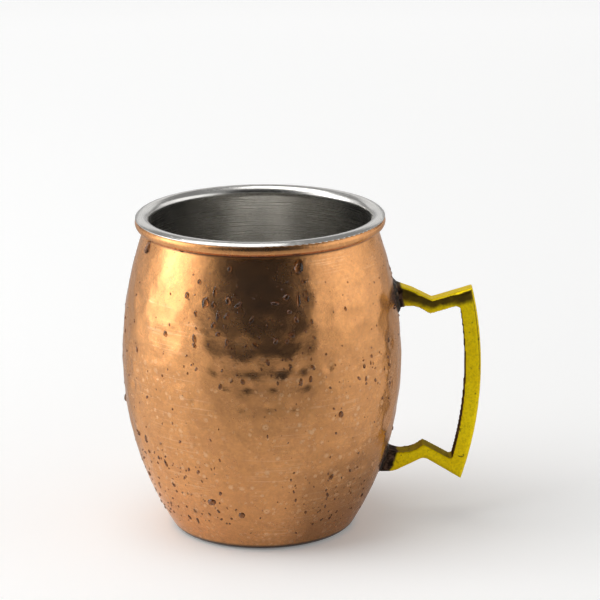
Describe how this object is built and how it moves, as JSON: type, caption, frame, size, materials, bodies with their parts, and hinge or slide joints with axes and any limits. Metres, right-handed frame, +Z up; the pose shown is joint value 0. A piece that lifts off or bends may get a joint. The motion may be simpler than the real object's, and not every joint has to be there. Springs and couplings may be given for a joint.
{
  "type": "copper mug",
  "caption": "Barrel-shaped hammered copper drinking mug with a rolled rim, a stainless liner and an angular cast brass handle.",
  "frame": {"origin": "centre of the foot, on the surface that the mug stands on", "axes": "+Z up along the barrel's axis, +X from the axis through the handle, +Y completes the right-handed set"},
  "size_m": [0.1157, 0.09, 0.1034],
  "materials": {
    "copper": "hammered and polished copper",
    "stainless": "satin",
    "steel_wire": "drawn",
    "solder": "dull",
    "cast_brass": "cast, lightly polished",
    "braze": "heat darkened"
  },
  "bodies": {
    "root": {"outer_shell": "copper", "inner_liner": "stainless", "rim_wire": "steel_wire", "base_disc": "copper", "base_seam": "solder", "handle": "cast_brass", "upper_braze_joint": "braze", "lower_braze_joint": "braze"}
  },
  "joints": []
}
